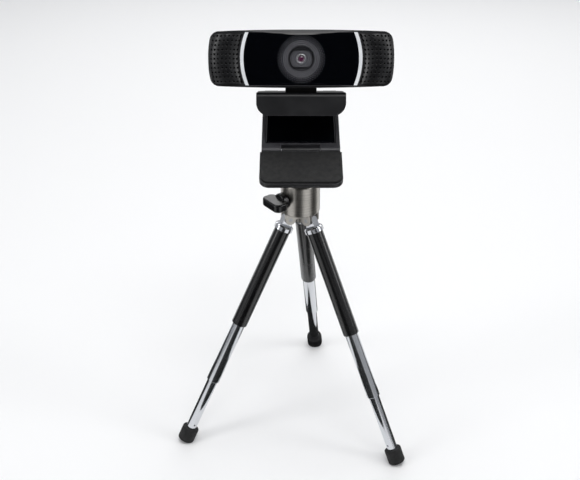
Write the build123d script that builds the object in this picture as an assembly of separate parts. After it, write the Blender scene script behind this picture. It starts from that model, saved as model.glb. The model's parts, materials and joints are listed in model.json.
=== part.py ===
from build123d import *
import math
import os

# Webcam with a folding monitor clip, screwed onto a small ball-head tripod.
# Millimetres, +Z up, the webcam looks along -Y. The tripod axis is X = 0, Y = 0 until the
# last step, which moves the whole object so that its origin is the bottom centre of its box.

# ---- tripod legs ----
leg_azimuths = [-159, -39, 81]
leg_spread = 25.5
pivot_radius = 7.0
sleeve_r = 4.5
sleeve_bore_r = 3.98
middle_r = 3.7
middle_bore_r = 3.2
lower_r = 3.0
lower_bore_r = 2.5
slide_gap = 0.05
collar_r = 5.2
collar_top = 4.6
collar_length = 3.0
collar_edge = 0.8
plug_depth = 5.0
sleeve_length = 63.0
middle_travel = 40.0
lower_travel = 34.0
lower_clearance = 0.5
lip_length = 1.5
lip_edge = 0.3
bush_length = 4.0
tube_tail = 1.5
foot_r = 4.9
foot_length = 9.0
foot_cover = 6.0
foot_edge = 1.2
foot_rim_edge = 0.6
foot_drop = 0.5
button_r = 0.5
button_height = 3.2

# ---- leg hinges ----
tongue_r = 3.0
tongue_thickness = 4.4
cheek_thickness = 1.6
cheek_gap = 0.1
pin_r = 1.1
pin_gap = 0.05
core_r = 3.4
fork_room = 0.3
yoke_bolt_r = 1.5
yoke_bolt_head_r = 2.8
yoke_bolt_head = 1.4
yoke_bolt_slot = 0.8

# ---- ball head ----
housing_r = 10.8
housing_height = 20.0
housing_clearance = 3.6
housing_floor = 5.0
housing_edge = 2.4
housing_round = 0.8
socket_r = 7.75
socket_height = 9.6
socket_edge = 0.8
cavity_r = 6.6
ball_r = 6.0
ball_gap = 0.05
ball_below_rim = 3.0
slot_azimuth = 38
head_lean = 14.0
slot_width = 5.6
slot_depth = 2.0
stem_r = 2.5
stem_flat = 1.0
pad_height = 8.0
seat_drop = 1.5
seat_gap = 0.08
clamp_lift = 4.0
knob_azimuth = -143
knob_hub_r = 4.6
knob_hub_length = 3.4
knob_hub_edge = 0.8
knob_gap = 0.3
knob_grip = 5.0
wing_span = 15.0
wing_depth = 8.5
wing_thickness = 4.6
wing_corner = 3.2
wing_edge = 1.0
wing_overlap = 1.5
clamp_screw_r = 2.0
clamp_screw_tip = 2.8
clamp_screw_gap = 0.05
clamp_bore_depth = 3.0

# ---- screw disc ----
disc_r = 10.0
disc_height = 3.4
cone_height = 2.4
cone_r = 8.4
cone_neck = 1.6
cone_gap = 0.3
disc_edge = 0.35
stem_visible = 5.6
disc_pad_r = 8.8
disc_pad_height = 0.6
disc_pad_proud = 0.3
disc_pad_gap = 0.6
stud_r = 3.175
stud_height = 3.1
stud_edge = 0.5
stud_seat = 1.2
spigot_r = 1.8
spigot_length = 1.0

# ---- clip ----
clip_width = 41.0
flap_length = 42.0
flap_thickness = 4.5
flap_rail = 2.0
flap_corner = 2.0
flap_plate_height = 1.2
flap_plate_proud = 0.3
flap_plate_inset = 0.1
flap_plate_bevel = 0.5
flap_plate_front = 0.9
flap_plate_back = 1.2
thread_offset = 8.0
insert_r = 5.0
thread_gap = 0.07
knuckle_r = 2.6
clip_pin_r = 1.0
arm_pin_end = 2.5
foot_pin_end = 1.5
hinge_gap = 0.3
web_overlap = 0.5
post_inset = 1.0
arm_angle = 34.0
arm_width = 45.6
arm_length = 43.5
arm_thickness = 5.0
arm_back_corner = 4.0
arm_front_round = 2.0
arm_web = 1.0
lip_depth = 9.0
lip_thickness = 3.0
lip_corner = 6.5
lip_pad_thickness = 0.8
lip_pad_margin = 5.0
lip_pad_drop = 1.5
lip_pad_corner = 2.0
foot_plate_length = 28.0
foot_plate_width = 42.5
foot_plate_thickness = 3.0
foot_plate_corner = 5.0
foot_plate_edge = 0.8
foot_plate_lift = 0.3
foot_knuckle_inset = 0.2
notch_half = 9.4
notch_depth = 0.5
notch_height = 1.4
foot_pad_thickness = 1.1
foot_pad_margin = 0.7
foot_pad_back = 0.4
foot_pad_edge = 0.4
foot_knuckle_half = 10.0
arm_knuckle_half = 12.0

# ---- webcam body ----
body_width = 94.0
body_height = 28.9
body_depth = 24.0
body_back = 35.0
body_up = 19.5
end_bulge = 2.0
end_drop = 1.0
body_corner = 5.0
front_round = 3.0
rear_round = 8.0
plan_round = 3.0
front_sweep = 3.0
rear_sweep = 4.0
wall = 1.6
parting_y = 2.0
face_mid_half = 28.95
face_top_half = 26.3
face_half_height = 13.1
arc_width = 1.75
bezel_width = 0.9
grille_half_height = 12.3
grille_end_margin = 1.1
lens_recess_r = 6.6
lens_ring_r = 9.2
carrier_half = 5.5
carrier_flat = 4.0
barrel_r = 2.6
glass_r = 1.85
neck_width = 16.0
neck_depth = 4.0
neck_gap = 0.4
neck_pin_end = 4.0
neck_setback = 1.0
neck_lift = 0.3
neck_root = 2.0
neck_eye_gap = 0.3
zone_depth = 6.2

# ---- lens ----
bezel_back = 4.0
bezel_sink = 0.15
groove_count = 4
groove_half = 0.12
groove_floor = 0.35
bezel_floor = 1.0
barrel_room = 1.2
holder_wall = 1.0
carrier_front = 2.4
barrel_front = 2.0
barrel_back = 9.0
barrel_edge = 0.3
glass_front = 2.3
glass_back = 5.0
glass_dome_r = 3.2

# ---- inside and back of the webcam ----
sensor_y = -2.6
sensor_thickness = 1.0
sensor_half = 8.0
board_y = 3.0
board_thickness = 1.2
board_half = 30.0
board_half_height = 9.0
microphone_r = 2.2
microphone_depth = 3.0
microphone_x = 24.0
post_x = 26.0
post_z = 6.5
post_r = 1.6
case_screw_r = 0.8
case_screw_head_r = 1.5
case_screw_head = 1.0
case_screw_depth = 4.4
inlet_x = 14.0
inlet_z = -4.0
inlet_r = 2.6
inlet_bore_r = 1.6


def ring(outer, inner, bottom, top):
    """A tube about the Z axis between two heights."""
    outside = Pos(0, 0, bottom) * Cylinder(outer, top - bottom, align=(Align.CENTER, Align.CENTER, Align.MIN))
    inside = Pos(0, 0, bottom) * Cylinder(inner, top - bottom, align=(Align.CENTER, Align.CENTER, Align.MIN))
    return outside - inside


def rod(radius, bottom, top):
    """A round bar along the Z axis between two heights."""
    return Pos(0, 0, bottom) * Cylinder(radius, top - bottom, align=(Align.CENTER, Align.CENTER, Align.MIN))


def cross_pin(radius, length):
    """A round bar along the Y axis, centred on the origin."""
    return Rot(90, 0, 0) * Cylinder(radius, length)


def side_pin(radius, half_from, half_to):
    """A round bar along the X axis between two X values."""
    middle = (half_from + half_to) / 2
    return Pos(middle, 0, 0) * Rot(0, 90, 0) * Cylinder(radius, half_to - half_from)


def block(x_from, x_to, y_from, y_to, z_from, z_to):
    """A box given by its limits."""
    centre = Pos((x_from + x_to) / 2, (y_from + y_to) / 2, (z_from + z_to) / 2)
    return centre * Box(x_to - x_from, y_to - y_from, z_to - z_from)


nodes = {}
cos_spread = math.cos(math.radians(leg_spread))

# Stations along a leg are distances from its hinge pin.
sleeve_top = collar_top + collar_length
sleeve_end = sleeve_top + sleeve_length
middle_end = sleeve_end + middle_travel
foot_top = middle_end + lower_travel + lower_clearance
leg_end = foot_top + foot_length
pivot_height = foot_drop + leg_end * cos_spread

housing_bottom = pivot_height + housing_clearance
housing_top = housing_bottom + housing_height
socket_top = housing_top + socket_height
ball_height = socket_top - ball_below_rim
disc_bottom = socket_top + stem_visible + cone_height
disc_top = disc_bottom + disc_height
flap_bottom = disc_top + disc_pad_proud

# The clamp screw runs out along its own Z axis from the tripod's axis.
pad_top = housing_bottom + housing_floor + pad_height
clamp_height = housing_bottom + housing_floor + clamp_lift
clamp_axis = Rot(0, 0, knob_azimuth) * Pos(0, 0, clamp_height) * Rot(0, 90, 0)


def leg_place(azimuth):
    """Where a leg, drawn hanging straight down from the origin, stands at rest."""
    return Rot(0, 0, azimuth) * Pos(pivot_radius, 0, pivot_height) * Rot(0, -leg_spread, 0)


def hinge_plug():
    """Tongue on the hinge pin, chrome collar, and the spigot that plugs the sleeve."""
    tongue = cross_pin(tongue_r, tongue_thickness)
    tongue += block(-tongue_r, tongue_r, -tongue_thickness / 2, tongue_thickness / 2, -collar_top, 0)
    collar = rod(collar_r, -sleeve_top, -collar_top)
    collar = chamfer(collar.edges().group_by(Axis.Z)[-1], collar_edge)
    plug = tongue + collar + rod(sleeve_bore_r - slide_gap, -sleeve_top - plug_depth, -sleeve_top)
    return plug - cross_pin(pin_r + pin_gap, 2 * tongue_r)


def telescopic_tube(outer, bore, tube_top, tube_end, lip_bore):
    """A thin tube whose lower end is rolled in around the next section."""
    tube = ring(outer, bore, -tube_end + lip_length, -tube_top)
    lip = ring(outer, lip_bore, -tube_end, -tube_end + lip_length)
    lip = chamfer(lip.edges().group_by(Axis.Z)[0].sort_by(SortBy.RADIUS)[-1], lip_edge)
    return tube + lip


def slide_bush(tube_outer, sleeve_bore, stop):
    """A plastic bush at the top of a tube, resting on the lip of the tube around it."""
    return ring(sleeve_bore - slide_gap, tube_outer, -stop, -stop + bush_length)


def leg_foot(azimuth):
    """A rubber cap, cut level where it stands on the ground."""
    cap = rod(foot_r, -leg_end, -foot_top)
    cap = fillet(cap.edges().group_by(Axis.Z)[0], foot_edge)
    cap = fillet(cap.edges().group_by(Axis.Z)[-1], foot_rim_edge)
    cap -= rod(lower_r, -foot_top - foot_cover, -foot_top)
    placed = leg_place(azimuth) * cap
    ground = block(-leg_end, leg_end, -leg_end, leg_end, -foot_length, 0)
    return placed - ground


for number, azimuth in enumerate(leg_azimuths, start=1):
    name = f"leg_{number}_"
    place = leg_place(azimuth)
    sleeve_stop = sleeve_end - lip_length
    middle_stop = middle_end - lip_length
    nodes[name + "hinge_plug"] = place * hinge_plug()
    nodes[name + "sleeve"] = place * telescopic_tube(
        sleeve_r, sleeve_bore_r, sleeve_top, sleeve_end, middle_r + slide_gap)
    nodes[name + "middle_tube"] = place * telescopic_tube(
        middle_r, middle_bore_r, sleeve_stop - bush_length - tube_tail, middle_end, lower_r + slide_gap)
    nodes[name + "middle_bush"] = place * slide_bush(middle_r, sleeve_bore_r, sleeve_stop)
    lower_top = middle_stop - bush_length - tube_tail
    lower_tube = ring(lower_r, lower_bore_r, -foot_top - foot_cover, -lower_top)
    lower_tube -= Pos(0, 0, -foot_top + button_height) * cross_pin(button_r, 4 * lower_r)
    nodes[name + "lower_tube"] = place * lower_tube
    nodes[name + "lower_bush"] = place * slide_bush(lower_r, middle_bore_r, middle_stop)
    nodes[name + "foot"] = leg_foot(azimuth)


def leg_yoke():
    """Three forks around a core, under the housing, with a hole for the yoke screw."""
    yoke = rod(core_r, pivot_height - tongue_r, housing_bottom)
    cheek_middle = tongue_thickness / 2 + cheek_gap + cheek_thickness / 2
    for azimuth in leg_azimuths:
        for side in (-1, 1):
            cheek = cross_pin(tongue_r, cheek_thickness)
            cheek += block(-pivot_radius + 1, tongue_r, -cheek_thickness / 2, cheek_thickness / 2,
                           0, housing_clearance)
            yoke += Rot(0, 0, azimuth) * Pos(pivot_radius, side * cheek_middle, pivot_height) * cheek
    for azimuth in leg_azimuths:
        fork = Rot(0, 0, azimuth) * Pos(pivot_radius, 0, pivot_height)
        room = block(-tongue_r - fork_room, tongue_r + 1, -tongue_thickness / 2 - cheek_gap,
                     tongue_thickness / 2 + cheek_gap, -tongue_r - 1, housing_clearance)
        yoke -= fork * room
        yoke -= fork * cross_pin(pin_r, 3 * tongue_thickness)
    return yoke - rod(yoke_bolt_r, pivot_height - 2 * tongue_r, housing_bottom + 1)


def hinge_pins():
    """One steel pin across each fork."""
    pin_length = tongue_thickness + 2 * (cheek_thickness + cheek_gap)
    pins = []
    for azimuth in leg_azimuths:
        spot = Rot(0, 0, azimuth) * Pos(pivot_radius, 0, pivot_height)
        pins.append(spot * cross_pin(pin_r, pin_length))
    return Compound(pins)


def head_housing():
    """Round housing with a narrower ball socket on top and a slot in the socket's rim."""
    housing = rod(housing_r, housing_bottom, housing_top)
    housing = chamfer(housing.edges().group_by(Axis.Z)[-1], housing_edge)
    housing = fillet(housing.edges().group_by(Axis.Z)[0], housing_round)
    socket = rod(socket_r, housing_top - housing_edge, socket_top)
    socket = fillet(socket.edges().group_by(Axis.Z)[-1], socket_edge)
    shape = housing + socket
    shape -= rod(cavity_r, housing_bottom + housing_floor, ball_height)
    shape -= Pos(0, 0, ball_height) * Sphere(ball_r + ball_gap)
    shape -= rod(cavity_r, ball_height - 1, ball_height)
    slot = block(0, socket_r + 1, -slot_width / 2, slot_width / 2, ball_height - slot_depth, socket_top + 1)
    shape -= Rot(0, 0, slot_azimuth) * slot
    shape -= clamp_axis * rod(clamp_screw_r + clamp_screw_gap, cavity_r - clamp_bore_depth, housing_r + 1)
    return shape - rod(yoke_bolt_r, housing_bottom - 1, housing_bottom + housing_floor + 1)


def yoke_screw():
    """Screw that holds the yoke under the housing."""
    seat = pivot_height - tongue_r
    head = rod(yoke_bolt_head_r, seat - yoke_bolt_head, seat)
    head -= Pos(0, 0, seat - yoke_bolt_head) * Box(yoke_bolt_slot, 3 * yoke_bolt_head_r, yoke_bolt_head)
    return head + rod(yoke_bolt_r, seat, housing_bottom + housing_floor)


def clamp_pad():
    """Wedge under the ball seat, pressed by the tip of the clamp screw."""
    pad = rod(cavity_r - seat_gap, housing_bottom + housing_floor, pad_top)
    return pad - clamp_axis * rod(clamp_screw_r + clamp_screw_gap, cavity_r - clamp_bore_depth, cavity_r + 1)


def clamp_knob():
    """Hub with a flat wing across it."""
    start = housing_r + knob_gap
    hub = rod(knob_hub_r, start, start + knob_hub_length)
    hub = fillet(hub.edges().group_by(Axis.Z)[-1], knob_hub_edge)
    wing_start = start + knob_hub_length - wing_overlap
    wing = block(-wing_thickness / 2, wing_thickness / 2, -wing_span / 2, wing_span / 2,
                 wing_start, wing_start + wing_depth)
    wing = fillet(wing.edges().filter_by(Axis.X), wing_corner)
    wing = fillet(wing.edges(), wing_edge)
    shape = hub + wing
    return clamp_axis * (shape - rod(clamp_screw_r, start - 1, start + knob_grip))


def clamp_screw():
    """Threaded screw fixed in the knob, with a rounded tip."""
    screw = rod(clamp_screw_r, cavity_r - clamp_screw_tip, housing_r + knob_gap + knob_grip)
    return clamp_axis * fillet(screw.edges().group_by(Axis.Z)[0], clamp_screw_r / 2)


def ball_seat():
    """Nylon cup that carries the ball."""
    seat = rod(cavity_r - seat_gap, pad_top, ball_height - seat_drop)
    return seat - Pos(0, 0, ball_height) * Sphere(ball_r + ball_gap)


def tilt_ball():
    """Steel ball with a flat top where the stem is set in."""
    ball = Pos(0, 0, ball_height) * Sphere(ball_r)
    return ball - rod(stem_r, ball_height + stem_flat, ball_height + ball_r + 1)


def tilt_stem():
    """Neck from the ball to the disc, with a thin spigot that the disc turns on."""
    stem = rod(stem_r, ball_height + stem_flat, disc_bottom - cone_height)
    return stem + rod(spigot_r, disc_bottom - cone_height, disc_bottom + spigot_length)


def screw_disc():
    """Disc with a conical underside, to be gripped at the rim."""
    rim = rod(disc_r, disc_bottom, disc_top)
    rim = chamfer(rim.edges(), disc_edge)
    cone_middle = disc_bottom - (cone_height - cone_gap) / 2
    under = Pos(0, 0, cone_middle) * Cone(stem_r + cone_neck, cone_r, cone_height - cone_gap)
    shape = rim + under
    shape -= rod(spigot_r + pin_gap, disc_bottom - cone_height, disc_bottom + stud_seat)
    shape -= rod(disc_pad_r, flap_bottom - disc_pad_height, disc_top + 1)
    return shape - rod(stud_r, disc_bottom + stud_seat, disc_top)


def camera_screw():
    """Quarter inch stud, with a chamfered end."""
    stud = rod(stud_r, disc_bottom + stud_seat, flap_bottom + stud_height)
    return chamfer(stud.edges().group_by(Axis.Z)[-1], stud_edge)


def disc_pad():
    """Rubber ring under the camera."""
    return ring(disc_pad_r, stud_r + disc_pad_gap, flap_bottom - disc_pad_height, flap_bottom)


nodes["head_housing"] = head_housing()
nodes["leg_yoke"] = leg_yoke()
nodes["leg_hinge_pins"] = hinge_pins()
nodes["yoke_screw"] = yoke_screw()
nodes["clamp_pad"] = clamp_pad()
nodes["clamp_knob"] = clamp_knob()
nodes["clamp_screw"] = clamp_screw()
nodes["ball_seat"] = ball_seat()
nodes["tilt_ball"] = tilt_ball()
nodes["tilt_stem"] = tilt_stem()
nodes["screw_disc"] = screw_disc()
nodes["camera_screw"] = camera_screw()
nodes["disc_pad"] = disc_pad()

# ---- clip flap and foot: level, in the tripod's frame ----
flap_top = flap_bottom + flap_thickness
foot_hinge = Vector(0, -thread_offset, flap_bottom + flap_thickness / 2)
arm_hinge = Vector(0, flap_length - thread_offset, flap_top + knuckle_r + 0.1)
at_foot_hinge = Pos(foot_hinge)
at_arm_hinge = Pos(arm_hinge)
arm_place = at_arm_hinge * Rot(-arm_angle, 0, 0)
flap_half = clip_width / 2
plate_start = foot_hinge.Y + flap_thickness / 2 + hinge_gap + flap_plate_front
plate_end = arm_hinge.Y - knuckle_r - flap_plate_back
arm_pin = side_pin(clip_pin_r, -flap_half + arm_pin_end, flap_half - arm_pin_end)
foot_pin = side_pin(clip_pin_r, -flap_half + foot_pin_end, flap_half - foot_pin_end)


def flap_frame():
    """Frame with side rails, two pairs of hinge knuckles and a pocket for the plate."""
    foot_knuckle = flap_thickness / 2
    start = foot_hinge.Y + foot_knuckle + hinge_gap
    frame = block(-flap_half, flap_half, start, arm_hinge.Y, flap_bottom, flap_top)
    frame = fillet(frame.edges().filter_by(Axis.Z).sort_by(Axis.Y)[-2:], flap_corner)
    for side in (-1, 1):
        low, high = sorted((side * (foot_knuckle_half + hinge_gap), side * flap_half))
        ear = side_pin(foot_knuckle, low, high)
        ear += block(low, high, 0, foot_knuckle + hinge_gap + web_overlap, -foot_knuckle, foot_knuckle)
        frame += at_foot_hinge * ear
        low, high = sorted((side * (arm_knuckle_half + hinge_gap), side * (flap_half - post_inset)))
        post = side_pin(knuckle_r, low, high)
        post += block(low, high, -knuckle_r, knuckle_r, -knuckle_r - web_overlap, 0)
        frame += at_arm_hinge * post
    frame -= block(-flap_half + flap_rail, flap_half - flap_rail, plate_start, plate_end,
                   flap_top - flap_plate_height, flap_top + 1)
    frame -= rod(insert_r, flap_bottom - 1, flap_top - flap_plate_height)
    return frame - at_foot_hinge * foot_pin - at_arm_hinge * arm_pin


def flap_plate():
    """Glossy plate set into the flap, with a bevelled rim, a little proud of the rails."""
    half = flap_half - flap_rail - flap_plate_inset
    plate = block(-half, half, plate_start + flap_plate_inset, plate_end - flap_plate_inset,
                  flap_top - flap_plate_height, flap_top + flap_plate_proud)
    return chamfer(plate.edges().group_by(Axis.Z)[-1], flap_plate_bevel)


def thread_insert():
    """Brass bush with a quarter inch thread, drawn as its bore."""
    return ring(insert_r, stud_r + thread_gap, flap_bottom, flap_top - flap_plate_height)


def foot_shell():
    """Foot plate with one middle knuckle, rounded front corners and a shallow notch."""
    half = foot_plate_width / 2
    front = foot_hinge.Y - foot_plate_length
    back = foot_hinge.Y - flap_thickness / 2 - hinge_gap
    low = flap_bottom + foot_plate_lift
    plate = block(-half, half, front, back, low, low + foot_plate_thickness)
    plate = fillet(plate.edges().filter_by(Axis.Z).sort_by(Axis.Y)[:2], foot_plate_corner)
    plate = fillet(plate.edges().group_by(Axis.Z)[0], foot_plate_edge)
    plate -= block(-notch_half, notch_half, front - 1, front + notch_depth, low - 1, low + notch_height)
    middle = side_pin(flap_thickness / 2 - foot_knuckle_inset, -foot_knuckle_half, foot_knuckle_half)
    web_back = -flap_thickness / 2 - hinge_gap - web_overlap
    web_low = -flap_thickness / 2 + foot_plate_lift
    middle += block(-foot_knuckle_half, foot_knuckle_half, web_back, 0,
                    web_low, web_low + foot_plate_thickness)
    shape = plate + at_foot_hinge * middle
    return shape - at_foot_hinge * side_pin(clip_pin_r + pin_gap, -flap_half, flap_half)


def foot_pad():
    """Rubber pad on the foot plate, with the plate's rounded corners."""
    half = foot_plate_width / 2 - foot_pad_margin
    front = foot_hinge.Y - foot_plate_length + foot_pad_margin
    back = foot_hinge.Y - flap_thickness / 2 - hinge_gap - foot_pad_back
    low = flap_bottom + foot_plate_lift + foot_plate_thickness
    pad = block(-half, half, front, back, low, low + foot_pad_thickness)
    pad = fillet(pad.edges().filter_by(Axis.Z).sort_by(Axis.Y)[:2], foot_plate_corner - foot_pad_margin)
    return fillet(pad.edges().group_by(Axis.Z)[-1], foot_pad_edge)


nodes["flap_frame"] = flap_frame()
nodes["flap_plate"] = flap_plate()
nodes["thread_insert"] = thread_insert()
nodes["flap_hinge_pin"] = at_arm_hinge * arm_pin
nodes["foot_shell"] = foot_shell()
nodes["foot_pad"] = foot_pad()
nodes["foot_pin"] = at_foot_hinge * foot_pin

# ---- clip arm, in its own frame: hinge at the origin, running along -Y ----
neck_y = -body_back + neck_setback
neck_place = Pos(0, neck_y, neck_lift)
neck_pin = side_pin(clip_pin_r, -neck_width / 2 - neck_pin_end, neck_width / 2 + neck_pin_end)
body_place = Pos(0, -body_back, body_up)


def clip_arm():
    """Top arm with a rounded lip that hooks over the edge of a screen."""
    half = arm_width / 2
    thick = arm_thickness / 2
    plate = block(-half, half, -arm_length, -knuckle_r - hinge_gap, -thick, thick)
    plate = fillet(plate.edges().filter_by(Axis.Z).sort_by(Axis.Y)[-2:], arm_back_corner)
    lip = block(-half, half, -arm_length, -arm_length + lip_thickness, -lip_depth, thick)
    lip = fillet(lip.edges().filter_by(Axis.Y).group_by(Axis.Z)[0], lip_corner)
    arm = plate + lip
    arm = fillet(arm.edges().filter_by(Axis.X).group_by(Axis.Y)[0].sort_by(Axis.Z)[-1], arm_front_round)
    arm += side_pin(thick, -arm_knuckle_half, arm_knuckle_half)
    web_front = -knuckle_r - hinge_gap - arm_web
    arm += block(-arm_knuckle_half, arm_knuckle_half, web_front, 0, -thick + web_overlap, thick)
    arm -= side_pin(clip_pin_r + pin_gap, -half, half)
    pocket = block(-neck_width / 2 - neck_gap, neck_width / 2 + neck_gap,
                   -neck_depth, neck_depth, -arm_thickness, arm_thickness)
    arm -= neck_place * pocket
    return arm - neck_place * neck_pin


def lip_pad():
    """Thin rubber strip behind the lip."""
    back = -arm_length + lip_thickness
    half = arm_width / 2 - lip_pad_margin
    pad = block(-half, half, back, back + lip_pad_thickness, -lip_depth + lip_pad_drop, -arm_thickness / 2)
    return fillet(pad.edges().filter_by(Axis.Y).group_by(Axis.Z)[0], lip_pad_corner)


nodes["clip_arm"] = arm_place * clip_arm()
nodes["lip_pad"] = arm_place * lip_pad()
nodes["neck_pin"] = arm_place * neck_place * neck_pin

# ---- webcam body, in its own frame: centre at the origin, facing -Y ----


def front_outline(inset):
    """Outline of the body from the front, drawn in X and Z."""
    half = body_width / 2 - inset
    tall = body_height / 2 - inset
    corner_x = half - end_bulge
    corner_z = tall - end_drop
    top = ThreePointArc((-corner_x, corner_z), (0, tall), (corner_x, corner_z))
    right = ThreePointArc((corner_x, corner_z), (half, 0), (corner_x, -corner_z))
    bottom = ThreePointArc((corner_x, -corner_z), (0, -tall), (-corner_x, -corner_z))
    left = ThreePointArc((-corner_x, -corner_z), (-half, 0), (-corner_x, corner_z))
    face = make_face(Curve() + [top, right, bottom, left])
    return fillet(face.vertices(), body_corner - inset / 2)


def side_outline(inset):
    """Outline of the body from the side, drawn in Y and Z."""
    face = Rectangle(body_depth - 2 * inset, body_height - 2 * inset)
    front = face.vertices().sort_by(Axis.X)[:2]
    face = fillet(front, front_round - inset / 2)
    return fillet(face.vertices().sort_by(Axis.X)[-2:], rear_round - inset)


def top_outline(inset):
    """Outline of the body from above, drawn in X and Y, swept back at the ends."""
    half = body_width / 2 - inset
    deep = body_depth / 2 - inset
    front = ThreePointArc((-half, -deep + front_sweep), (0, -deep), (half, -deep + front_sweep))
    right = Line((half, -deep + front_sweep), (half, deep - rear_sweep))
    back = ThreePointArc((half, deep - rear_sweep), (0, deep), (-half, deep - rear_sweep))
    left = Line((-half, deep - rear_sweep), (-half, -deep + front_sweep))
    face = make_face(Curve() + [front, right, back, left])
    return fillet(face.vertices(), plan_round)


def body_form(inset):
    """The whole body as the space common to its front, side and top outlines."""
    reach = body_width
    from_front = extrude(Rot(90, 0, 0) * front_outline(inset), reach / 2, both=True)
    side_plane = Plane(origin=(0, 0, 0), x_dir=(0, 1, 0), z_dir=(1, 0, 0))
    from_side = extrude(side_plane * side_outline(inset), reach / 2, both=True)
    from_top = extrude(top_outline(inset), reach / 2, both=True)
    return from_front & from_side & from_top


def front_prism(face):
    """The space of the front wall over a face drawn in X and Z."""
    return Pos(0, -zone_depth, 0) * extrude(Rot(90, 0, 0) * face, body_depth)


def bowed_band(side, mid_from, mid_to, bow, half_height):
    """A band between two bowed lines on one side of the lens, cut through the front."""
    inner = ThreePointArc((mid_from - bow, half_height), (mid_from, 0), (mid_from - bow, -half_height))
    outer = ThreePointArc((mid_to - bow, -half_height), (mid_to, 0), (mid_to - bow, half_height))
    close_low = Line((mid_from - bow, -half_height), (mid_to - bow, -half_height))
    close_high = Line((mid_to - bow, half_height), (mid_from - bow, half_height))
    face = make_face(Curve() + [inner, close_low, outer, close_high])
    band = front_prism(face)
    if side < 0:
        band = mirror(band, about=Plane.YZ)
    return band


outer_form = body_form(0)
inner_form = body_form(wall)
shell = outer_form - inner_form
bow = face_mid_half - face_top_half
front_space = block(-body_width, body_width, -body_depth, parting_y, -body_height, body_height)
rear_space = block(-body_width, body_width, parting_y, body_depth, -body_height, body_height)


def face_zone():
    """The faceplate's zone, between the two bowed lines."""
    left = ThreePointArc((-face_top_half, face_half_height), (-face_mid_half, 0),
                         (-face_top_half, -face_half_height))
    low = Line((-face_top_half, -face_half_height), (face_top_half, -face_half_height))
    right = ThreePointArc((face_top_half, -face_half_height), (face_mid_half, 0),
                          (face_top_half, face_half_height))
    high = Line((face_top_half, face_half_height), (-face_top_half, face_half_height))
    return front_prism(make_face(Curve() + [left, low, right, high]))


def grille_zone(side):
    """A grille's zone, outside an arc and inside the body's rim."""
    start = face_mid_half + arc_width + bezel_width
    band = bowed_band(side, start, body_width, bow, grille_half_height)
    inside = front_prism(front_outline(grille_end_margin))
    return band & inside


arc_zones = [bowed_band(side, face_mid_half, face_mid_half + arc_width, bow, face_half_height)
             for side in (-1, 1)]
lens_axis = Rot(90, 0, 0)
front_y = body_depth / 2

front_shell = shell & front_space
faceplate = front_shell & face_zone()
nodes["faceplate"] = faceplate - lens_axis * rod(lens_ring_r, 0, front_y + 1)
nodes["left_grille"] = front_shell & grille_zone(-1)
nodes["right_grille"] = front_shell & grille_zone(1)
nodes["side_arcs"] = Compound([(front_shell & zone).solids()[0] for zone in arc_zones])
front_frame = front_shell
for cut in (faceplate, nodes["left_grille"], nodes["right_grille"], nodes["side_arcs"]):
    front_frame -= cut
nodes["front_frame"] = front_frame


def lens_bezel():
    """Ring around the lens, stepped inwards in fine concentric grooves, with a deep recess."""
    bezel = ring(lens_ring_r, lens_recess_r, front_y - bezel_back, front_y - bezel_sink)
    groove_pitch = (lens_ring_r - lens_recess_r) / (groove_count + 1)
    for index in range(groove_count):
        radius = lens_recess_r + groove_pitch * (index + 1)
        bezel -= ring(radius + groove_half, radius - groove_half, front_y - groove_floor, front_y)
    floor_back = front_y - bezel_back - bezel_floor
    floor = ring(lens_ring_r, barrel_r + barrel_room, floor_back, front_y - bezel_back)
    holder = ring(lens_recess_r, lens_recess_r - holder_wall, -sensor_y, floor_back)
    return lens_axis * (bezel + floor + holder)


def lens_carrier():
    """Plate with two flats that guides the lens barrel."""
    plate = rod(carrier_half, front_y - bezel_back, front_y - carrier_front)
    plate &= block(-carrier_half, carrier_half, -carrier_flat, carrier_flat, 0, front_y)
    return lens_axis * (plate - rod(barrel_r + slide_gap, 0, front_y))


def lens_barrel():
    """Focusing barrel with a bright lip around the glass."""
    barrel = ring(barrel_r, glass_r, front_y - barrel_back, front_y - barrel_front)
    return lens_axis * chamfer(barrel.edges().group_by(Axis.Z)[-1].sort_by(SortBy.RADIUS)[-1], barrel_edge)


def lens_glass():
    """Front element with a domed face."""
    dome_top = front_y - glass_front
    dome = Pos(0, 0, dome_top - glass_dome_r) * Sphere(glass_dome_r)
    return lens_axis * (rod(glass_r, front_y - glass_back, dome_top) & dome)


nodes["lens_bezel"] = lens_bezel()
nodes["lens_carrier"] = lens_carrier()
nodes["lens_barrel"] = lens_barrel()
nodes["lens_glass"] = lens_glass()

screw_seat = front_y - case_screw_depth
to_back = Rot(-90, 0, 0)


def rear_shell():
    """Rear half of the case, with four board posts and the cable inlet hole."""
    rear = shell & rear_space
    for x in (-post_x, post_x):
        for z in (-post_z, post_z):
            post = Pos(x, 0, z) * to_back * rod(post_r, board_y + board_thickness, front_y)
            rear += post & outer_form
    rear -= Pos(inlet_x, 0, inlet_z) * to_back * rod(inlet_r, 0, body_depth)
    for x in (-post_x, post_x):
        bore = rod(case_screw_r, 0, body_depth) + rod(case_screw_head_r, screw_seat, body_depth)
        rear -= Pos(x, 0, -post_z) * to_back * bore
    return rear


def case_screws():
    """Two screws through the lower posts."""
    screw = rod(case_screw_r, board_y + board_thickness, screw_seat)
    screw += rod(case_screw_head_r, screw_seat, screw_seat + case_screw_head)
    return Compound([Pos(x, 0, -post_z) * to_back * screw for x in (-post_x, post_x)])


def cable_inlet():
    """Rubber ring in the cable's hole, flush with the case."""
    grommet = Pos(inlet_x, 0, inlet_z) * to_back * ring(inlet_r, inlet_bore_r, 0, body_depth)
    return grommet & shell & rear_space


def microphones():
    """A round microphone on the front of the board behind each grille's inner end."""
    capsule = rod(microphone_r, board_y - microphone_depth, board_y)
    return Compound([Pos(x, 0, 0) * to_back * capsule for x in (-microphone_x, microphone_x)])


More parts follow.
